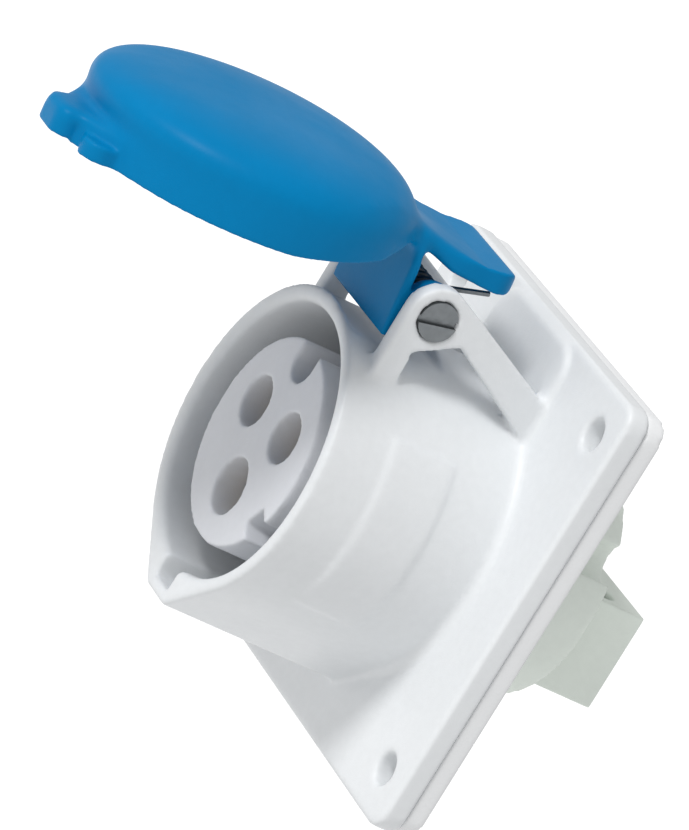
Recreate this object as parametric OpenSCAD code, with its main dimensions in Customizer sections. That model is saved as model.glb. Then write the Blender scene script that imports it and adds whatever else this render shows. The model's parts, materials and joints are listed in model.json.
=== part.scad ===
// Panel-mounting socket-outlet for an industrial plug: two poles and earth, with a hinged flap.
// The origin is the centre of the face that lies on the panel. -Y points out of the panel towards
// the plug, and +Z points up to the hinge. A "height" is a distance in front of the panel.

/* [Flange] */
// Side of the square flange
flange_side = 75; // [68:0.5:95]
// Thickness of the moulded flange plate
flange_plate_t = 3.9; // [3:0.1:6]
// Radius of the flange's corners
flange_corner_r = 3.5; // [1:0.5:8]
// Distance between neighbouring fixing holes
fixing_pitch = 60; // [54:0.5:66]
// Diameter of a fixing hole
fixing_hole_d = 5.2; // [3.5:0.1:6.5]
// Thickness of the rubber gasket behind the flange
gasket_t = 3.05; // [1:0.05:4]
// Width of the step that the gasket's edge lies inside the flange's edge
gasket_inset = 0.4; // [0:0.1:2]
// Height of the raised pad that carries the hinge ears
ear_pad_t = 0.9; // [0.4:0.1:2]

/* [Collar] */
// Height of the collar's mouth
mouth_h = 39.9; // [36:0.1:46]
// Inside radius of the collar, which takes the plug's shroud
collar_in_r = 22.4; // [20:0.1:24]
// Thickness of the collar's wall
collar_wall = 2.7; // [2.2:0.1:3.6]
// Half the distance between the two round corners of the keyway's rib
key_corner_x = 3.5; // [2.5:0.1:5]
// Depth of the keyway below the collar's inside
key_depth = 3.8; // [2.5:0.1:4.5]
// Half width of the keyway's groove
key_half_w = 3; // [2:0.1:3.5]
// Height of the floor that the plug's shroud stops at
floor_h = 12; // [11:0.1:15]
// Thickness of that floor
floor_t = 4; // [3.5:0.1:4.5]
// Raised plain panel on the collar's side: its half angle
side_panel_half_angle = 34.5; // [15:0.5:45]
// Lowest height of the side panel
side_panel_low = 18.7; // [14:0.1:22]
// Highest height of the side panel
side_panel_high = 29.3; // [25:0.1:34]
// How far the side panel stands proud
side_panel_t = 0.4; // [0.2:0.1:1]

/* [Hinge] */
// Depth of the hinge pin's axis below the collar's mouth
pin_drop = 9.2; // [7:0.1:12]
// Distance of the hinge pin's axis from the collar's outside
pin_rise = 6.8; // [6.4:0.1:10]
// Radius of the hinge pin's shaft
pin_r = 2; // [1.5:0.05:2.4]
// Radius of the hinge pin's slotted head
pin_head_r = 3.15; // [2.8:0.05:3.6]
// Thickness of the hinge pin's head
pin_head_t = 1.9; // [1.2:0.1:2.2]
// Turn of the slot in the pin's head
pin_slot_turn = 12; // [-90:1:90]
// Radius of an ear round the pin
ear_r = 5.2; // [4.6:0.1:5.3]
// Thickness of an ear
ear_t = 3; // [2.4:0.1:4]
// Distance between the two ears
ear_gap = 24; // [20:0.2:28]
// Slope of the ear's brace
brace_slope = 24; // [20:0.5:30]
// Width of the ear's upright post
post_w = 4.3; // [3:0.1:6]
// Width of the brace where it leaves the ear
brace_w = 4.8; // [3.5:0.1:6]
// Depth of the flat that is cut in the collar's top under the hinge
hinge_flat_t = 1.5; // [0.5:0.1:1.7]
// How far the flap stands open from its closed place
lid_open = 82.5; // [0:1:96]

/* [Flap] */
// Radial room between the collar and the flap's skirt
lid_room = 0.5; // [0.4:0.1:1.4]
// Thickness of the flap's skirt
lid_wall = 1; // [0.9:0.1:2.5]
// How far the skirt reaches over the collar's mouth
lid_overlap = 2.9; // [2:0.1:3.8]
// How far that falls off towards the hinge
rim_rise = 2.7; // [0:0.1:2.7]
// Height of the skirt's straight wall
lid_skirt_t = 5.8; // [5:0.1:7]
// Rise of the dome over the skirt
dome_rise = 7.9; // [6:0.1:11]
// Fullness of the dome: 2 is an ellipse, and more is squarer
dome_power = 2.8; // [2:0.1:4]
// How far the dome leans towards the finger grip for each mm that it rises
dome_lean = 0.45; // [0:0.05:0.6]
// Thickness of the dome
dome_wall = 1.8; // [1.4:0.1:2.6]
// Half width of the flap's neck at its narrowest
neck_half_w = 10.8; // [10:0.1:11.5]
// Thickness of the heel
heel_t = 3.6; // [2.5:0.1:5]
// Half width of the flap's hinge block, between the ears
block_half_w = 11.6; // [9:0.1:11.7]
// Thickness of a hinge cheek
cheek_t = 3; // [2:0.1:4]
// Length of the heel beyond the pin
heel_l = 12.5; // [10:0.1:18]
// Half width of the middle finger tab
tab_half_w = 4.6; // [4:0.1:8]
// How far the middle finger tab stands beyond the skirt
tab_reach = 6.2; // [5:0.1:10]
// Distance between the two side lobes, centre to centre
lobe_pitch = 16.6; // [14:0.2:26]
// Radius of a side lobe
lobe_r = 3; // [2:0.1:5]
// Thickness of the rubber ring inside the flap
lid_ring_t = 1.6; // [1:0.1:2]
// Inside radius of the rubber ring inside the flap
lid_ring_in_r = 18; // [14:0.1:20]

/* [Contact carrier] */
// Radius of the contact carrier
carrier_r = 17.05; // [16:0.05:18]
// Depth of the carrier's face below the collar's mouth
carrier_depth = 1.6; // [0.5:0.1:6]
// Thickness of the carrier's base flange
carrier_base_t = 3.8; // [3:0.1:4]
// Radius of the circle that the three contacts stand on
contact_circle_r = 8; // [7.5:0.1:8.5]
// Width of the guide slot at the top of the carrier
guide_slot_w = 6.4; // [4:0.1:8]
// Distance of the guide slot's end from the axis
guide_slot_in = 10.8; // [8:0.1:12]
// Width of the small notch at the side of the carrier
side_notch_w = 4.6; // [3:0.1:6]
// Place of the small notch round the carrier
side_notch_turn = -33; // [-50:1:-10]
// Depth of both slots
slot_depth = 22; // [10:0.5:26]

/* [Contacts] */
// Diameter of a phase or neutral pin
pole_pin_d = 5; // [4:0.1:6]
// Diameter of the earth pin
earth_pin_d = 6; // [5:0.1:7]
// Depth of the contact sleeves' ends below the carrier's face
sleeve_drop = 5; // [2:0.1:6]
// Wall of a contact sleeve
sleeve_wall = 0.85; // [0.6:0.05:1]
// Depth of a contact sleeve's socket
socket_depth = 19; // [12:0.5:22]
// Thickness of the spring ring round a sleeve
ring_t = 0.5; // [0.3:0.05:0.6]
// Distance between neighbouring wire clamps
clamp_pitch = 7.6; // [7.2:0.1:8]
// Width of a wire clamp
clamp_w = 5.8; // [5:0.1:6]
// Diameter of a wire hole in a clamp
wire_hole_d = 3.4; // [2:0.1:3.8]
// Diameter of a clamp screw
clamp_screw_d = 3.5; // [2.5:0.1:4]

/* [Terminal housing] */
// Radius of the round rear body
rear_r = 20; // [19.5:0.1:21.5]
// Depth of the round rear body behind the panel
rear_depth = 16.5; // [14:0.5:22]
// Depth of the terminal block behind the panel
block_depth = 29.3; // [27:0.1:40]
// Half width of the terminal block
terminal_half_w = 12; // [11.8:0.1:14]
// Highest point of the terminal block
terminal_top = 3; // [2:0.1:6]
// Lowest point of the terminal block
terminal_low = -13.6; // [-16:0.1:-12]
// Wall of the terminal block
terminal_wall = 1.9; // [1.2:0.1:2.2]

/* [Hidden] */
$fn = 96;
slack = 0.05;                                   // radial room of a running fit
cut = 1;                                        // how far a cut runs past a face
flange_back = gasket_t;
flange_front = gasket_t + flange_plate_t;
collar_r = collar_in_r + collar_wall;
pin_h = mouth_h - pin_drop;
pin_z = collar_r + pin_rise;
hinge_flat_z = collar_r - hinge_flat_t;
key_small_r = 1.8;
key_corner_z = collar_in_r + key_depth + 2 - key_small_r;
floor_low = floor_h - floor_t;
seal_t = 0.8;
base_top = floor_low - seal_t;
base_low = base_top - carrier_base_t;
base_r = collar_in_r - 0.2;
face_h = mouth_h - carrier_depth;
screw_circle_r = (carrier_r + collar_in_r) / 2;
screw_turns = [30, 210];
screw_r = 1.45;
screw_head_r = 2.7;
lug_t = 4;
ear_in = ear_gap / 2;
ear_out = ear_in + ear_t;
pad_z = flange_side / 2 - 0.7 - ear_out;        // centre of the pad under the ears
rim_t = 1.2;                                    // full ring left at the mouth over the hinge flat
lid_in_r = collar_r + lid_room;
lid_r = lid_in_r + lid_wall;
lid_rim_h = mouth_h - lid_overlap;
skirt_top = lid_rim_h + lid_skirt_t;
ring_seat_h = mouth_h + 0.1 + lid_ring_t;
dome_steps = 12;
cheek_r = 4.3;
leg_z = 0.8;                                    // hinge leg's underside above the collar's top
leg_t = 1.5;
leg_reach = 5.5;                                // hinge leg's tip behind the pin, flap closed
pole_angles = [150, 30, 270];                   // line, neutral, earth, seen from the front
clamp_z = -5.2;
clamp_low = -9;
clamp_top = -1.5;
clamp_front = -18;
clamp_back = -27;
strap_t = 1.2;
strap_w = 4.4;
crank_h = -3;
coil_r = 3.2;
spring_wire_r = 0.45;
spring_turns = 7;
spring_half_l = 7.7;
spring_sides = 6;
turn_steps = 18;

// ---- helpers -------------------------------------------------------------------------------

// Extrudes a sketch in X-Z between two heights in front of the panel
module outward(low, high) {
    translate([0, -low, 0]) rotate([90, 0, 0]) linear_extrude(high - low) children();
}

// Turns a profile of (radius, height) round the collar's axis
module turned() {
    rotate([90, 0, 0]) rotate_extrude() children();
}

// Extrudes a sketch in Y-Z along X
module across(low, high) {
    translate([low, 0, 0]) rotate([90, 0, 90]) linear_extrude(high - low) children();
}

// Moves a sketch in Y-Z to the hinge pin
module at_pin() {
    translate([-pin_h, pin_z]) children();
}

module rounded_square(side, r) {
    inner = side - 2 * r;
    square([side, inner], center = true);
    square([inner, side], center = true);
    for (x = [-1, 1], z = [-1, 1]) {
        translate([x * inner / 2, z * inner / 2]) circle(r);
    }
}

// A round outline with the keyway's rib at the bottom, its sides tangent to both
module keyed_disc(r, small) {
    turn = atan2(-key_corner_z, key_corner_x)
         + acos((r - small) / norm([key_corner_x, key_corner_z]));
    n = [cos(turn), sin(turn)];
    side = r * n;
    corner = [key_corner_x, -key_corner_z] + small * n;
    low = -key_corner_z - small;
    circle(r);
    for (x = [-1, 1]) translate([x * key_corner_x, -key_corner_z]) circle(small);
    polygon([[-side.x, side.y], [side.x, side.y], corner, [key_corner_x, low],
             [-key_corner_x, low], [-corner.x, corner.y]]);
}

// The four fixing holes as a sketch
module fixing_holes(r) {
    for (x = [-1, 1], z = [-1, 1]) {
        translate([x * fixing_pitch / 2, z * fixing_pitch / 2]) circle(r);
    }
}

// Puts children at one assembly screw, or at both
module at_screw(turn) {
    rotate(turn) translate([screw_circle_r, 0]) children();
}

module at_screws() {
    for (turn = screw_turns) at_screw(turn) children();
}

// Turns the closed flap to where it stands open
module opened() {
    translate([0, -pin_h, pin_z]) rotate([-lid_open, 0, 0]) translate([0, pin_h, -pin_z]) children();
}

// ---- housing -------------------------------------------------------------------------------

// One hinge ear: a post and a brace round an open triangle
module ear_sketch() {
    front = -pin_h - ear_r;
    n = [sin(brace_slope), cos(brace_slope)];
    top = [-pin_h, pin_z] + ear_r * n;
    root = top.y - tan(brace_slope) * (-flange_front - top.x);
    inner_slope = brace_slope + 3.6;
    b = [-pin_h + 5.9, pin_z - 2.2];
    ear_low = collar_r - 10;                    // inside the collar's wall
    difference() {
        union() {
            at_pin() circle(ear_r);
            polygon([[front, ear_low], [front, pin_z], [-pin_h, pin_z], top,
                     [-flange_front, root], [-flange_front, ear_low]]);
        }
        polygon([[front + post_w, pin_z - 5.9], b,
                 [-flange_front + cut, b.y - tan(inner_slope) * (-flange_front + cut - b.x)],
                 [-flange_front + cut, ear_low - 5], [front + post_w + 1.6, ear_low - 5]]);
    }
}

module side_panel_sketch() {
    far = 2 * collar_r;
    intersection() {
        difference() {
            circle(collar_r + side_panel_t);
            circle(collar_r - cut);
        }
        polygon([[0, 0],
                 [far * cos(side_panel_half_angle), -far * sin(side_panel_half_angle)],
                 [far * cos(side_panel_half_angle), far * sin(side_panel_half_angle)]]);
    }
}

module housing() {
    fillet = 1.5;
    color("gainsboro") difference() {
        union() {
            outward(flange_back, flange_front) rounded_square(flange_side, flange_corner_r);
            outward(flange_back, mouth_h) keyed_disc(collar_r, key_small_r);
            turned() translate([collar_r - 0.01, flange_front - 0.01]) difference() {
                square(fillet);
                translate([fillet, fillet]) circle(fillet);
            }
            outward(flange_front - cut, flange_front + ear_pad_t) {
                translate([0, pad_z]) rounded_square(2 * ear_out - 1, 5);
            }
            for (x = [-ear_out, ear_in]) across(x, x + ear_t) ear_sketch();
            outward(side_panel_low, side_panel_high) side_panel_sketch();
        }
        outward(floor_h, mouth_h + cut) circle(collar_in_r);
        outward(floor_h, mouth_h + cut) {
            translate([-key_half_w, -collar_in_r - key_depth]) square([2 * key_half_w, collar_in_r]);
        }
        outward(floor_low - cut, floor_h + cut) circle(carrier_r + 0.2);
        outward(flange_back - cut, floor_low) circle(collar_in_r);
        outward(floor_low - cut, floor_h - 1) at_screws() circle(screw_r + slack);
        outward(flange_back - cut, flange_front + cut) fixing_holes(fixing_hole_d / 2);
        // flat between the ears, under the flap's hinge leg
        outward(pin_h - 9, mouth_h - rim_t) {
            translate([-ear_in, hinge_flat_z]) square([ear_gap, collar_wall]);
        }
        across(-ear_out - cut, ear_out + cut) at_pin() circle(pin_r + slack);
        across(ear_out - pin_head_t + 0.3, ear_out + cut) at_pin() circle(pin_head_r + slack);
        // chamfer round the inside of the mouth
        turned() polygon([[0, mouth_h - 0.8], [collar_in_r, mouth_h - 0.8],
                          [collar_in_r + 0.8, mouth_h], [collar_in_r + 0.8, mouth_h + cut],
                          [0, mouth_h + cut]]);
    }
}

module flange_gasket() {
    color("gray") outward(0, gasket_t) difference() {
        rounded_square(flange_side - 2 * gasket_inset, flange_corner_r);
        circle(collar_r - 0.3);
        fixing_holes(fixing_hole_d / 2);
    }
}

// ---- contact carrier -----------------------------------------------------------------------

function pin_d(i) = i == 2 ? earth_pin_d : pole_pin_d;
function sleeve_in(i) = pin_d(i) / 2 + slack;
function sleeve_out(i) = sleeve_in(i) + sleeve_wall;
function bore_r(i) = sleeve_out(i) + ring_t + 0.25;
function shoulder_r(i) = bore_r(i) + 0.3;
shoulder_low = floor_low + 0.5;
shoulder_top = shoulder_low + 2;
sleeve_top = face_h - sleeve_drop;

module at_pole(i) {
    translate([contact_circle_r * cos(pole_angles[i]), contact_circle_r * sin(pole_angles[i])]) {
        children();
    }
}

module guide_slot_sketch() {
    half = guide_slot_w / 2;
    translate([0, guide_slot_in + half]) circle(half);
    translate([-half, guide_slot_in + half]) square([guide_slot_w, carrier_r]);
    rotate(side_notch_turn) translate([carrier_r - 3.2, -side_notch_w / 2]) {
        square([carrier_r, side_notch_w]);
    }
}

module contact_carrier() {
    color("lightgray") difference() {
        union() {
            outward(base_low, face_h) circle(carrier_r);
            outward(base_low, base_top) circle(base_r);
        }
        for (i = [0:2]) {
            outward(base_low - cut, face_h + cut) at_pole(i) circle(bore_r(i));
            outward(base_low - cut, shoulder_top) at_pole(i) circle(shoulder_r(i) + 0.1);
        }
        outward(face_h - slot_depth, face_h + cut) guide_slot_sketch();
        outward(base_low - cut, base_top + cut) at_screws() circle(screw_r + 0.2);
    }
}

module carrier_seal() {
    color("dimgray") outward(base_top, floor_low) difference() {
        circle(base_r);
        circle(carrier_r + 0.2);
        at_screws() circle(screw_r + 0.3);
    }
}

// ---- contacts ------------------------------------------------------------------------------

module contact(i, clamp_x) {
    strap_x = (clamp_x + contact_circle_r * cos(pole_angles[i])) / 2;
    strap_z = contact_circle_r * sin(pole_angles[i]);
    tail_z = i == 2 ? strap_z : clamp_z;
    color("goldenrod") difference() {
        union() {
            outward(shoulder_low, sleeve_top) at_pole(i) circle(sleeve_out(i));
            outward(shoulder_low, shoulder_top) at_pole(i) circle(shoulder_r(i));
            outward(crank_h - strap_t, shoulder_low + 0.5) translate([strap_x, strap_z]) {
                square([strap_w, strap_t], center = true);
            }
            outward(crank_h - strap_t, crank_h) {
                translate([strap_x - strap_w / 2, min(strap_z, tail_z) - strap_t / 2]) {
                    square([strap_w, abs(strap_z - tail_z) + strap_t]);
                }
            }
            outward(clamp_front - cut, crank_h) translate([strap_x, tail_z]) {
                square([strap_w, strap_t], center = true);
            }
            outward(clamp_back, clamp_front) {
                translate([clamp_x - clamp_w / 2, clamp_low]) square([clamp_w, clamp_top - clamp_low]);
            }
        }
        outward(sleeve_top - socket_depth, sleeve_top + cut) at_pole(i) circle(sleeve_in(i));
        // the slits that let the sleeve spring
        outward(sleeve_top - socket_depth + 4, sleeve_top + cut) at_pole(i) {
            square([3 * sleeve_out(i), 0.7], center = true);
        }
        outward(clamp_back - cut, clamp_front - 1.5) translate([clamp_x, clamp_z]) {
            circle(wire_hole_d / 2);
        }
        translate([clamp_x, -(clamp_front + clamp_back) / 2, clamp_z]) {
            cylinder(h = 10, r = clamp_screw_d / 2 + slack);
        }
    }
}

module line_contact() contact(0, -clamp_pitch);
module neutral_contact() contact(1, clamp_pitch);
module earth_contact() contact(2, 0);

module spring_ring(i) {
    color("silver") outward(sleeve_top - 5, sleeve_top - 2.4) at_pole(i) difference() {
        circle(sleeve_out(i) + ring_t);
        circle(sleeve_out(i) + 0.02);
        rotate(90) translate([0, -0.4]) square([10, 0.8]);
    }
}

module line_spring_ring() spring_ring(0);
module neutral_spring_ring() spring_ring(1);
module earth_spring_ring() spring_ring(2);

module clamp_screw(x) {
    low = clamp_z + wire_hole_d / 2 + 0.3;
    high = terminal_top - 1.2;
    color("silver") translate([x, -(clamp_front + clamp_back) / 2, 0]) difference() {
        translate([0, 0, low]) cylinder(h = high - low, r = clamp_screw_d / 2);
        translate([-5, -0.4, high - 0.9]) cube([10, 0.8, 2]);
    }
}

module line_clamp_screw() clamp_screw(-clamp_pitch);
module neutral_clamp_screw() clamp_screw(clamp_pitch);
module earth_clamp_screw() clamp_screw(0);

// ---- terminal housing ----------------------------------------------------------------------

module terminal_housing() {
    bay_w = clamp_w + 0.8;
    bay_low = terminal_low + terminal_wall;
    bay_top = terminal_top - terminal_wall;
    front = base_low;
    color("darkseagreen") difference() {
        union() {
            outward(-rear_depth, front) circle(rear_r);
            outward(front - lug_t, front) intersection() {
                at_screws() circle(screw_head_r + 0.5);
                circle(base_r);
            }
            outward(-block_depth, -rear_depth + cut) {
                translate([-terminal_half_w, terminal_low]) {
                    square([2 * terminal_half_w, terminal_top - terminal_low]);
                }
            }
        }
        for (x = [-1, 0, 1]) {
            outward(-block_depth + 1.6, front + cut) {
                translate([x * clamp_pitch - bay_w / 2, bay_low]) square([bay_w, bay_top - bay_low]);
            }
            outward(-block_depth - cut, -block_depth + 3) translate([x * clamp_pitch, clamp_z]) {
                circle(wire_hole_d / 2 + 0.6);
            }
            translate([x * clamp_pitch, -(clamp_front + clamp_back) / 2, 0]) {
                cylinder(h = terminal_top + cut, r = clamp_screw_d / 2 + 0.4);
            }
        }
        // room for the two cranked contacts
        for (x = [-1, 1]) {
            outward(crank_h - strap_t - 0.6, front + cut) {
                translate([x * clamp_pitch - bay_w / 2, bay_low]) square([bay_w, 20]);
            }
        }
        outward(front - lug_t - cut, front + cut) at_screws() circle(screw_r + 0.2);
        // recess for each screw's head in the round body
        outward(-rear_depth - cut, front - lug_t) at_screws() circle(screw_head_r + 0.4);
    }
}

module assembly_screws() {
    head_top = base_low - lug_t;
    head_t = 2.3;
    color("silver") for (turn = screw_turns) {
        difference() {
            union() {
                outward(head_top - head_t, head_top) at_screw(turn) circle(screw_head_r);
                outward(head_top - 0.5, floor_h - 1.2) at_screw(turn) circle(screw_r);
            }
            outward(head_top - head_t - cut, head_top - 1.1) at_screw(turn) {
                square([3.6, 0.8], center = true);
                square([0.8, 3.6], center = true);
            }
        }
    }
}

// ---- hinge ---------------------------------------------------------------------------------

module hinge_pin() {
    head_low = ear_out - pin_head_t + 0.3;
    slot_t = 0.8;
    color("slategray") difference() {
        union() {
            across(-ear_out - 1.4, head_low + 0.5) at_pin() circle(pin_r);
            across(head_low, head_low + pin_head_t) at_pin() circle(pin_head_r);
        }
        across(head_low + pin_head_t - slot_t, ear_out + 5) at_pin() rotate(pin_slot_turn) {
            square([3 * pin_head_r, 1.1], center = true);
        }
    }
}

// Spring clip on the plain end of the pin
module pin_clip() {
    color("silver") across(-ear_out - 0.9, -ear_out) at_pin() difference() {
        circle(pin_r + 1.7);
        circle(pin_r + 0.02);
        rotate(200) translate([0, -0.7]) square([10, 1.4]);
    }
}

// Centre line of the torsion spring: a leg to the collar, the coil, a leg to the flap's heel
function coil_point(k) =
    let (a = -90 + 360 * k / turn_steps)
    [-spring_half_l + 2 * spring_half_l * k / (turn_steps * (spring_turns + 0.5)),
     -pin_h + coil_r * cos(a), pin_z + coil_r * sin(a)];
collar_leg = [[-spring_half_l, -pin_h + 9.5, collar_r - 0.6],
              [-spring_half_l, -pin_h + 8.6, pin_z - coil_r - 0.6],
              [-spring_half_l, -pin_h + 7.6, pin_z - coil_r]];
heel_leg = [[spring_half_l, -pin_h + 1.5, pin_z + coil_r + 0.2],
            [spring_half_l, -pin_h + 9, pin_z + coil_r + 2.4]];
spring_path = concat(collar_leg,
                     [for (k = [0:turn_steps * (spring_turns + 0.5)]) coil_point(k)],
                     heel_leg);

// Sweeps a round wire along a path of points
module wire(path, r, sides) {
    last = len(path) - 1;
    function along(i) = path[min(i + 1, last)] - path[max(i - 1, 0)];
    function ring(i) =
        let (t = along(i) / norm(along(i)),
             u = cross(t, [1, 0, 0]),
             a = u / norm(u), b = cross(t, a))
        [for (s = [0:sides - 1]) path[i] + r * (cos(360 * s / sides) * a + sin(360 * s / sides) * b)];
    points = [for (i = [0:last]) each ring(i)];
    sides_faces = [for (i = [0:last - 1], s = [0:sides - 1])
        [i * sides + s, i * sides + (s + 1) % sides,
         (i + 1) * sides + (s + 1) % sides, (i + 1) * sides + s]];
    ends = [[for (s = [sides - 1:-1:0]) s], [for (s = [0:sides - 1]) last * sides + s]];
    polyhedron(points, concat(sides_faces, ends));
}

module hinge_spring() {
    color("silver") wire(spring_path, spring_wire_r, spring_sides);
}

// ---- flap ----------------------------------------------------------------------------------

// Quarter of a rounded dome as a profile of (radius, height)
function dome_points(r, base, rise) =
    [for (k = [0:dome_steps]) let (a = 90 * k / dome_steps)
        [r * pow(cos(a), 2 / dome_power), base + rise * pow(sin(a), 2 / dome_power)]];

// A rounded cap that leans towards the finger grip as it rises
module dome(r, base, rise) {
    lean = [[1, 0, 0, 0], [0, 1, 0, 0], [0, dome_lean, 1, dome_lean * base], [0, 0, 0, 1]];
    multmatrix(lean) turned() polygon(concat([[0, base]], dome_points(r, base, rise)));
}

// The neck and the heel, seen from the front
module neck_plan() {
    heel_top = pin_z + heel_l;
    heel_r = 4;
    flare_z = pin_z - 6;
    polygon([[-neck_half_w, pin_z], [-neck_half_w, flare_z], [-lid_r * 0.86, lid_r * 0.38],
             [lid_r * 0.86, lid_r * 0.38], [neck_half_w, flare_z], [neck_half_w, pin_z]]);
    translate([-neck_half_w, pin_z - 2]) square([2 * neck_half_w, heel_l + 2 - heel_r]);
    translate([-neck_half_w + heel_r, pin_z]) square([2 * (neck_half_w - heel_r), heel_l]);
    for (x = [-1, 1]) {
        translate([x * (neck_half_w - heel_r), heel_top - heel_r]) circle(heel_r);
    }
}

// The neck and the heel, seen from the side, with the hollow that clears the pin
module neck_profile() {
    tip_r = heel_t / 2;
    tip = [-pin_h - 5.4 - tip_r, pin_z + heel_l - tip_r];
    translate(tip) circle(tip_r);
    polygon([[-mouth_h + 0.3, pin_z - 5], [-pin_h - 6.6, pin_z + 1], [tip.x + tip_r, tip.y - 1.6],
             [tip.x + tip_r, tip.y], [tip.x - tip_r, tip.y], [tip.x - tip_r, tip.y - 4.6],
             [-skirt_top + 2.3, pin_z + 2], [-skirt_top + 1.1, pin_z - 2.1],
             [-skirt_top - 0.5, pin_z - 6.4], [-skirt_top - 2.6, pin_z - 10.4],
             [-skirt_top - 4.4, pin_z - 15], [-skirt_top - 4.4, lid_r * 0.2],
             [-lid_rim_h - 1, lid_r * 0.2]]);
}

// The middle tab and the two lobes beside it
module finger_grip() {
    tab_r = 2.6;
    tab_end = -lid_r - tab_reach + tab_r;
    outward(lid_rim_h + 0.4, skirt_top - 0.8) {
        translate([-tab_half_w, tab_end]) square([2 * tab_half_w, 10]);
        translate([-tab_half_w + tab_r, tab_end - tab_r]) square([2 * (tab_half_w - tab_r), 10]);
        for (x = [-1, 1]) translate([x * (tab_half_w - tab_r), tab_end]) circle(tab_r);
    }
    outward(lid_rim_h, lid_rim_h + 2.8) for (x = [-1, 1]) {
        translate([x * lobe_pitch / 2, -lid_r]) circle(lobe_r);
        translate([x * lobe_pitch / 2 - lobe_r, -lid_r]) square([2 * lobe_r, 8]);
    }
}

// The leg that drops behind the collar's mouth, and the cheek round the pin
module hinge_leg_sketch() {
    low = collar_r + leg_z;
    at_pin() circle(cheek_r);
    translate([-skirt_top + 0.5, low]) square([skirt_top - 0.5 - pin_h + leg_reach, leg_t]);
    translate([-pin_h - 2.2, low]) square([4.4, pin_z - low]);
}

// Takes the skirt's edge off in a slope towards the hinge
module rim_slope_sketch() {
    low = -lid_rim_h + 5;
    polygon([[-lid_rim_h, 0], [-lid_rim_h - rim_rise, collar_r], [-lid_rim_h - rim_rise, pin_z - 5],
             [low, pin_z - 5], [low, 0]]);
}

module lid_shell() {
    difference() {
        union() {
            outward(lid_rim_h, skirt_top) circle(lid_r);
            outward(lid_rim_h, skirt_top - 0.8) keyed_disc(lid_r, key_small_r + lid_room + lid_wall);
            dome(lid_r, skirt_top, dome_rise);
            intersection() {
                across(-lid_r, lid_r) neck_profile();
                outward(pin_h, mouth_h + 20) neck_plan();
            }
            finger_grip();
        }
        across(-lid_r - cut, lid_r + cut) rim_slope_sketch();
    }
}

module lid_cover() {
    low = collar_r + leg_z;
    color("steelblue") opened() difference() {
        union() {
            lid_shell();
            across(-block_half_w, block_half_w) hinge_leg_sketch();
        }
        outward(lid_rim_h - cut, ring_seat_h) keyed_disc(lid_in_r, key_small_r + lid_room);
        intersection() {
            dome(lid_r - dome_wall, skirt_top, dome_rise - dome_wall);
            outward(mouth_h, mouth_h + 20) circle(lid_ring_in_r + 2.5);
        }
        outward(ring_seat_h - cut, skirt_top + 0.01) circle(lid_ring_in_r + 1);
        // bay of the torsion spring between the cheeks
        across(-block_half_w + cheek_t, block_half_w - cheek_t) {
            translate([-pin_h - 6, low + leg_t]) square([20, 20]);
        }
        across(-block_half_w - cut, block_half_w + cut) at_pin() circle(pin_r + slack);
    }
}

module lid_seal_ring() {
    color("dimgray") opened() outward(mouth_h + 0.1, ring_seat_h) difference() {
        circle(lid_in_r - 0.1);
        circle(lid_ring_in_r);
    }
}

housing();
flange_gasket();
contact_carrier();
carrier_seal();
terminal_housing();
line_contact();
neutral_contact();
earth_contact();
line_spring_ring();
neutral_spring_ring();
earth_spring_ring();
line_clamp_screw();
neutral_clamp_screw();
earth_clamp_screw();
assembly_screws();
hinge_pin();
pin_clip();
hinge_spring();
lid_cover();
lid_seal_ring();
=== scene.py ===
"""Visual model of a panel socket-outlet with its flap standing open."""
import json
import math

import bmesh
import bpy
from mathutils import Matrix, Vector


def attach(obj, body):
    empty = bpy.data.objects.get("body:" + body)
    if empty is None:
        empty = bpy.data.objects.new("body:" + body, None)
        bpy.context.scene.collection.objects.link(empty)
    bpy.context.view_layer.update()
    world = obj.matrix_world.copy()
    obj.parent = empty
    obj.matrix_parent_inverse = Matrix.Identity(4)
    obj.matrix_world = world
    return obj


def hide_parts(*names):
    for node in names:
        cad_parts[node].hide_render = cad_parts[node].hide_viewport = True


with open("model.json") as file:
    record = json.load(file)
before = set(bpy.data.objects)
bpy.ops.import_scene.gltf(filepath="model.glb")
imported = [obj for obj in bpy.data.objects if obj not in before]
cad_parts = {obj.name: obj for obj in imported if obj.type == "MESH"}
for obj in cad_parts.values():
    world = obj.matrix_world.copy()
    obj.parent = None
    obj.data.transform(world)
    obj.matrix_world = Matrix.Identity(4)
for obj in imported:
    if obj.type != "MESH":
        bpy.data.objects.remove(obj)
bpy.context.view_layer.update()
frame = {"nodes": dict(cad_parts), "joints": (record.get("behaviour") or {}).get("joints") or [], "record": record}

SAME_POINT = 1e-6        # points nearer than this, in metres, are one point
scene = bpy.context.scene
nodes = frame["nodes"]


# ---- material helpers ------------------------------------------------------------------------

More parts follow.
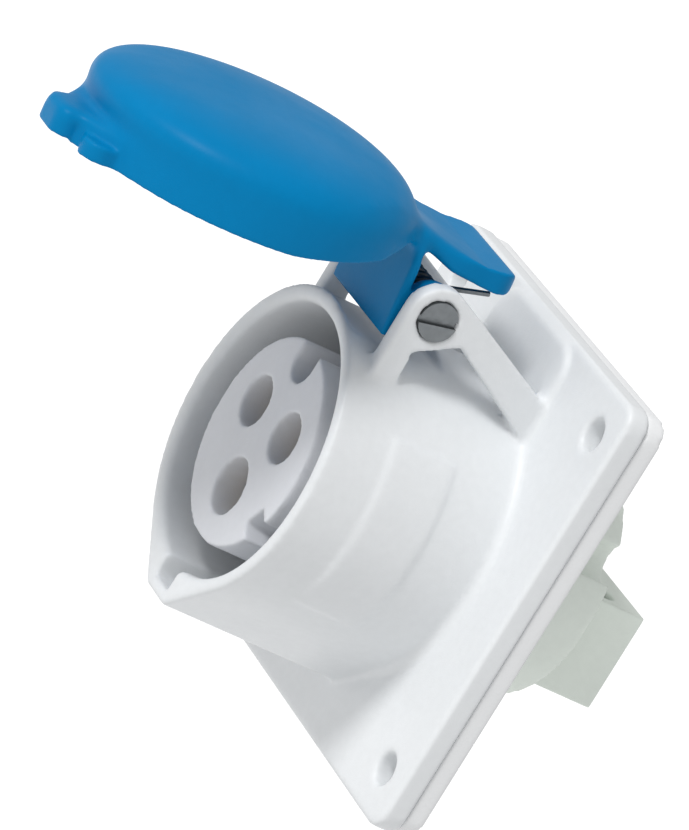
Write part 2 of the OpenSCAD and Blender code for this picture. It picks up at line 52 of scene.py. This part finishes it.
class Graph:
    """A material's nodes, with short calls for the few kinds used here."""

    def __init__(self, name):
        self.material = bpy.data.materials.new(name)
        self.material.use_nodes = True
        self.tree = self.material.node_tree
        self.tree.nodes.clear()
        self.output = self.add("ShaderNodeOutputMaterial")
        self.coords = self.add("ShaderNodeTexCoord").outputs["Object"]

    def add(self, kind, **settings):
        node = self.tree.nodes.new(kind)
        for key, value in settings.items():
            setattr(node, key, value)
        return node

    def link(self, source, socket):
        self.tree.links.new(source, socket)

    def scaled(self, scale):
        """Object coordinates, scaled by axis."""
        node = self.add("ShaderNodeMapping")
        node.inputs["Scale"].default_value = scale
        self.link(self.coords, node.inputs["Vector"])
        return node.outputs["Vector"]

    def noise(self, scale, detail, where=None):
        """Noise in object coordinates, or in the ones that are given."""
        node = self.add("ShaderNodeTexNoise")
        node.inputs["Scale"].default_value = scale
        node.inputs["Detail"].default_value = detail
        self.link(where or self.coords, node.inputs["Vector"])
        return node.outputs["Fac"]

    def spread(self, value, low, high):
        """Maps a noise's middle range onto low to high."""
        node = self.add("ShaderNodeMapRange")
        node.inputs["From Min"].default_value = 0.3
        node.inputs["From Max"].default_value = 0.7
        node.inputs["To Min"].default_value = low
        node.inputs["To Max"].default_value = high
        self.link(value, node.inputs["Value"])
        return node.outputs["Result"]

    def blend(self, factor, first, second):
        """Mixes two colours, each a tuple or a socket, by a socket's value."""
        node = self.add("ShaderNodeMix", data_type="RGBA")
        self.link(factor, node.inputs["Factor"])
        for socket, colour in (("A", first), ("B", second)):
            target = [s for s in node.inputs if s.name == socket and s.type == "RGBA"][0]
            if isinstance(colour, tuple):
                target.default_value = (*colour, 1)
            else:
                self.link(colour, target)
        return [s for s in node.outputs if s.type == "RGBA"][0]

    def bump(self, height, depth, strength, under=None):
        """A relief of a depth in metres, over another relief where one is given."""
        node = self.add("ShaderNodeBump")
        node.inputs["Strength"].default_value = strength
        node.inputs["Distance"].default_value = depth
        self.link(height, node.inputs["Height"])
        if under:
            self.link(under, node.inputs["Normal"])
        return node.outputs["Normal"]

    def surface(self, **inputs):
        """A Principled shader on the output; numbers are set and sockets are linked."""
        shader = self.add("ShaderNodeBsdfPrincipled")
        for key, value in inputs.items():
            socket = shader.inputs[key.replace("_", " ")]
            if isinstance(value, bpy.types.NodeSocket):
                self.link(value, socket)
            else:
                socket.default_value = value
        self.link(shader.outputs["BSDF"], self.output.inputs["Surface"])
        return self.material


def tinted(colour, factor):
    """A colour made lighter or darker by a factor."""
    return tuple(min(1.0, c * factor) for c in colour)


def moulded(name, colour, roughness, flow, index=1.42):
    """Moulded plastic: a faint clouded tone, a sheen that varies, and a fine eroded grain.
    flow is the clouds' share of the colour, and index the plastic's index of refraction."""
    g = Graph(name)
    clouds = g.spread(g.noise(scale=38, detail=3), low=0.0, high=1.0)
    specks = g.spread(g.noise(scale=700, detail=2), low=0.0, high=0.12)
    base = g.blend(clouds, tinted(colour, 1 - flow), tinted(colour, 1 + flow))
    base = g.blend(specks, base, tinted(colour, 0.8))
    sheen = g.spread(g.noise(scale=90, detail=4), low=roughness - 0.06, high=roughness + 0.07)
    wavy = g.bump(g.noise(scale=120, detail=1), depth=0.00006, strength=0.5)
    grain = g.bump(g.noise(scale=3200, detail=2), depth=0.00003, strength=0.6, under=wavy)
    return g.surface(Base_Color=base, Roughness=sheen, Normal=grain, IOR=index)


def rubbery(name, colour):
    """Moulded rubber: dull, with a dusty bloom and a coarse grain."""
    g = Graph(name)
    bloom = g.spread(g.noise(scale=140, detail=5), low=0.0, high=0.35)
    dusty = tuple(0.8 * c + 0.12 for c in colour)
    base = g.blend(bloom, colour, dusty)
    rough = g.spread(g.noise(scale=400, detail=3), low=0.62, high=0.82)
    grain = g.bump(g.noise(scale=1800, detail=3), depth=0.00005, strength=0.7)
    return g.surface(Base_Color=base, Roughness=rough, Normal=grain)


def metal(name, colour, roughness):
    """Worked metal: streaks drawn along X, and a dulled film in patches."""
    g = Graph(name)
    streaks = g.noise(scale=1, detail=4, where=g.scaled((60, 1200, 1200)))
    film = g.spread(g.noise(scale=260, detail=5), low=0.0, high=0.5)
    base = g.blend(film, colour, tinted(colour, 0.75))
    rough = g.spread(streaks, low=roughness - 0.08, high=roughness + 0.12)
    scratches = g.bump(streaks, depth=0.00002, strength=0.5)
    return g.surface(Base_Color=base, Metallic=1.0, Roughness=rough, Normal=scratches)


# ---- materials -------------------------------------------------------------------------------

WHITE = (0.79, 0.81, 0.825)
BLUE = (0.0, 0.20, 0.46)
PALE_GREY = (0.73, 0.745, 0.78)
PALE_GREEN = (0.80, 0.86, 0.80)
RUBBER_WHITE = (0.85, 0.86, 0.87)
RUBBER_BLACK = (0.03, 0.03, 0.033)
BRASS = (0.72, 0.52, 0.24)
DARK_ZINC = (0.22, 0.235, 0.245)

materials = {
    "housing_plastic": moulded("housing_plastic", WHITE, roughness=0.42, flow=0.02),
    "flap_plastic": moulded("flap_plastic", BLUE, roughness=0.42, flow=0.05, index=1.16),
    "carrier_plastic": moulded("carrier_plastic", PALE_GREY, roughness=0.5, flow=0.04),
    "terminal_plastic": moulded("terminal_plastic", PALE_GREEN, roughness=0.5, flow=0.04),
    "flange_rubber": rubbery("flange_rubber", RUBBER_WHITE),
    "seal_rubber": rubbery("seal_rubber", RUBBER_BLACK),
    "contact_brass": metal("contact_brass", BRASS, roughness=0.34),
    "zinc_steel": metal("zinc_steel", DARK_ZINC, roughness=0.40),
}


# ---- pieces ----------------------------------------------------------------------------------

slot_of = {part["node"]: part["material_slot"] for part in frame["record"]["subparts"]}
body_of = {node: body for body, names in frame["record"]["behaviour"]["bodies"].items()
           for node in names}

hinge = frame["joints"][0]
PIN_OUT, PIN_Z = -hinge["pos_m"][1], hinge["pos_m"][2]        # the hinge pin, from the panel
FLAP_OPEN = math.radians(-hinge["range_deg"][0])              # the turn from shut to the zero pose

SMOOTH_FACTOR = 0.5
SOFT_PASSES = 320        # smoothing passes where the shape asks for a second smoothing
SOFT_LEAST = 0.01        # shares under this are left out

# On the flap, in metres: heights are over the pin with the flap shut, and lengths run along the
# flap from the pin to the grip.
SOFT_LOW = 0.0060                          # height where the soft part starts beside the hinge
SOFT_LIFT = 0.0025                         # how much higher it starts over the cap
SOFT_STEP = 0.0030                         # height in which it grows to its full share
CAP_FROM, CAP_TO = 0.010, 0.018            # length in which that start rises
HEEL_FROM, HEEL_TO = -0.0045, 0.0015       # length in which the heel turns into the neck

LEG_X, LEG_RISE = 0.0070, 0.0015           # the spring's leg is past this X and so far over the pin


def set_material(mesh, node):
    """Gives a mesh the material of a CAD node, and no other."""
    mesh.materials.clear()
    mesh.materials.append(materials[slot_of[node]])


def bake_modifiers(piece):
    """Turns an object's modifiers into its mesh."""
    graph = bpy.context.evaluated_depsgraph_get()
    made = bpy.data.meshes.new_from_object(piece.evaluated_get(graph))
    piece.modifiers.clear()
    piece.vertex_groups.clear()
    piece.data = made


def add_smoothing(piece, name, passes):
    """A smoothing modifier, which rounds more with more passes."""
    smoothing = piece.modifiers.new(name, "SMOOTH")
    smoothing.factor = SMOOTH_FACTOR
    smoothing.iterations = passes
    return smoothing


def as_moulded(name, cell, passes, shape=None, keep=1.0):
    """Builds the moulding that stands for a CAD node: the same solid in small cells, with every
    corner rounded as a mould rounds it. shape gives each point's share of a second smoothing,
    and keep is the share of the triangles that stay."""
    mesh = nodes[name].data.copy()
    set_material(mesh, name)
    piece = bpy.data.objects.new(name + "_moulding", mesh)
    scene.collection.objects.link(piece)
    weld = piece.modifiers.new("weld", "WELD")
    weld.merge_threshold = SAME_POINT
    cells = piece.modifiers.new("cells", "REMESH")
    cells.mode = "VOXEL"
    cells.voxel_size = cell
    cells.use_smooth_shade = True
    bake_modifiers(piece)
    if shape:
        group = piece.vertex_groups.new(name="soft")
        for v in piece.data.vertices:
            share = shape(v.co)
            if share > SOFT_LEAST:
                group.add([v.index], share, "REPLACE")
        add_smoothing(piece, "soft", SOFT_PASSES).vertex_group = group.name
    add_smoothing(piece, "even", passes)
    if keep < 1:
        fewer = piece.modifiers.new("fewer", "DECIMATE")
        fewer.ratio = keep
    bake_modifiers(piece)
    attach(piece, body_of[name])
    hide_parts(name)


def ramp(value, start, end):
    """0 before start and 1 after end, with a soft step between them."""
    t = max(0.0, min(1.0, (value - start) / (end - start)))
    return t * t * (3 - 2 * t)


def cap_share(point):
    """1 on the flap's cap and neck, and 0 on its skirt's lower half and behind the pin."""
    out, up = -point.y - PIN_OUT, point.z - PIN_Z
    height = out * math.cos(FLAP_OPEN) + up * math.sin(FLAP_OPEN)
    along = out * math.sin(FLAP_OPEN) - up * math.cos(FLAP_OPEN)
    start = SOFT_LOW + SOFT_LIFT * ramp(along, CAP_FROM, CAP_TO)
    return ramp(height, start, start + SOFT_STEP) * ramp(along, HEEL_FROM, HEEL_TO)


def spring_part(name, body, wanted):
    """Copies the faces of the spring that are wanted, closes the cut and puts it on a body."""
    mesh = nodes["hinge_spring"].data.copy()
    work = bmesh.new()
    work.from_mesh(mesh)
    bmesh.ops.remove_doubles(work, verts=work.verts, dist=SAME_POINT)
    gone = [f for f in work.faces if not wanted(f.calc_center_median())]
    bmesh.ops.delete(work, geom=gone, context="FACES")
    bmesh.ops.holes_fill(work, edges=[e for e in work.edges if e.is_boundary], sides=0)
    bmesh.ops.triangulate(work, faces=work.faces)
    bmesh.ops.recalc_face_normals(work, faces=work.faces)
    work.to_mesh(mesh)
    work.free()
    piece = bpy.data.objects.new(name, mesh)
    scene.collection.objects.link(piece)
    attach(piece, body)
    return piece


def on_flap_leg(point):
    """True on the spring's leg that points to the flap's heel."""
    return point.x > LEG_X and point.z > PIN_Z + LEG_RISE and point.y > -PIN_OUT


for name in nodes:
    set_material(nodes[name].data, name)

as_moulded("lid_cover", cell=0.00022, passes=16, shape=cap_share, keep=0.27)
as_moulded("housing", cell=0.00050, passes=4, keep=0.7)
as_moulded("contact_carrier", cell=0.00045, passes=3)
as_moulded("terminal_housing", cell=0.00050, passes=4)
as_moulded("flange_gasket", cell=0.00050, passes=3)
coil = spring_part("hinge_spring_coil", "socket", lambda point: not on_flap_leg(point))
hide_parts("hinge_spring")
spring_part("hinge_spring_leg", "lid", on_flap_leg)


# ---- floor, light and camera -----------------------------------------------------------------

FLOOR_Z, FLOOR_HALF, FLOOR_TONE = -0.16, 6.0, 0.82
FLOOR_LIFT = 0.36         # light added to the floor where the camera or a reflection sees it
AROUND = 0.71             # the studio's light on the part
BACKDROP = 1.0            # and what the camera sees of it
KEY_TOWARDS, KEY_POWER, KEY_WIDTH = (0.26, -0.70, 0.74), 1.85, 16

# The photograph's view, as the outline's fit gave it: angles in degrees, distances in metres and
# the lens in millimetres on a sensor of SENSOR width.
VIEW_TURN, VIEW_LIFT, VIEW_ROLL = 59.955, 12.511, 31.786
VIEW_DISTANCE, LENS, SENSOR = 1.0953, 311.0, 36.0
AIM_ACROSS, AIM_ABOVE = -0.01741, 0.01813        # the view's centre, from the origin
CLIP_NEAR, CLIP_FAR = 0.05, 50

def white_to_the_eye(g, shader, lift):
    """Adds light to a shader for camera, glossy and transmission rays only."""
    path = g.add("ShaderNodeLightPath")
    seen = path.outputs["Is Camera Ray"]
    for other in ("Is Glossy Ray", "Is Transmission Ray"):
        either = g.add("ShaderNodeMath", operation="MAXIMUM")
        g.link(seen, either.inputs[0])
        g.link(path.outputs[other], either.inputs[1])
        seen = either.outputs[0]
    glow = g.add("ShaderNodeEmission")
    strength = g.add("ShaderNodeMath", operation="MULTIPLY")
    g.link(seen, strength.inputs[0])
    strength.inputs[1].default_value = lift
    g.link(strength.outputs[0], glow.inputs["Strength"])
    both = g.add("ShaderNodeAddShader")
    g.link(shader, both.inputs[0])
    g.link(glow.outputs[0], both.inputs[1])
    g.link(both.outputs[0], g.output.inputs["Surface"])


def make_floor():
    """A wide sheet of white paper under the part."""
    g = Graph("floor_paper")
    paper = g.add("ShaderNodeBsdfDiffuse")
    paper.inputs["Color"].default_value = (FLOOR_TONE, FLOOR_TONE, FLOOR_TONE, 1)
    white_to_the_eye(g, paper.outputs[0], FLOOR_LIFT)
    mesh = bpy.data.meshes.new("floor")
    corners = [(x * FLOOR_HALF, y * FLOOR_HALF, FLOOR_Z)
               for x, y in ((-1, -1), (1, -1), (1, 1), (-1, 1))]
    mesh.from_pydata(corners, [], [(0, 1, 2, 3)])
    floor = bpy.data.objects.new("floor", mesh)
    floor.data.materials.append(g.material)
    scene.collection.objects.link(floor)


def make_world():
    """Even light from all around, with a white backdrop where the camera sees it."""
    world = bpy.data.worlds.new("studio")
    scene.world = world
    world.use_nodes = True
    tree = world.node_tree
    tree.nodes.clear()
    path = tree.nodes.new("ShaderNodeLightPath")
    seen = path.outputs["Is Camera Ray"]
    soft = tree.nodes.new("ShaderNodeBackground")
    soft.inputs["Strength"].default_value = AROUND
    white = tree.nodes.new("ShaderNodeBackground")
    white.inputs["Strength"].default_value = BACKDROP
    mix = tree.nodes.new("ShaderNodeMixShader")
    out = tree.nodes.new("ShaderNodeOutputWorld")
    tree.links.new(seen, mix.inputs["Fac"])
    tree.links.new(soft.outputs[0], mix.inputs[1])
    tree.links.new(white.outputs[0], mix.inputs[2])
    tree.links.new(mix.outputs[0], out.inputs["Surface"])


def sun(name, towards, strength, spread):
    """A far light in a direction from the part, as wide as its spread in degrees."""
    data = bpy.data.lights.new(name, "SUN")
    data.energy = strength
    data.angle = math.radians(spread)
    light = bpy.data.objects.new(name, data)
    light.rotation_mode = "QUATERNION"
    light.rotation_quaternion = Vector(towards).normalized().to_track_quat("Z", "Y")
    scene.collection.objects.link(light)


def make_camera():
    """The view of the photograph: from the front right, tilted."""
    turn, lift, roll = (math.radians(angle) for angle in (VIEW_TURN, VIEW_LIFT, VIEW_ROLL))
    back = Vector((math.sin(turn) * math.cos(lift), -math.cos(turn) * math.cos(lift),
                   math.sin(lift)))
    right = Vector((math.cos(turn), math.sin(turn), 0))
    up = back.cross(right)
    right, up = (math.cos(roll) * right + math.sin(roll) * up,
                 math.cos(roll) * up - math.sin(roll) * right)
    place = back * VIEW_DISTANCE
    to_back = (place - (AIM_ACROSS * right + AIM_ABOVE * up)).normalized()
    side = up.cross(to_back).normalized()
    top = to_back.cross(side)
    data = bpy.data.cameras.new("camera")
    data.sensor_width = SENSOR
    data.lens = LENS
    data.clip_start = CLIP_NEAR
    data.clip_end = CLIP_FAR
    camera = bpy.data.objects.new("camera", data)
    turned = Matrix((side, top, to_back)).transposed().to_4x4()
    camera.matrix_world = Matrix.Translation(place) @ turned
    scene.collection.objects.link(camera)
    scene.camera = camera


make_floor()
make_world()
sun("key", KEY_TOWARDS, KEY_POWER, KEY_WIDTH)
make_camera()
scene.view_settings.view_transform = "Standard"
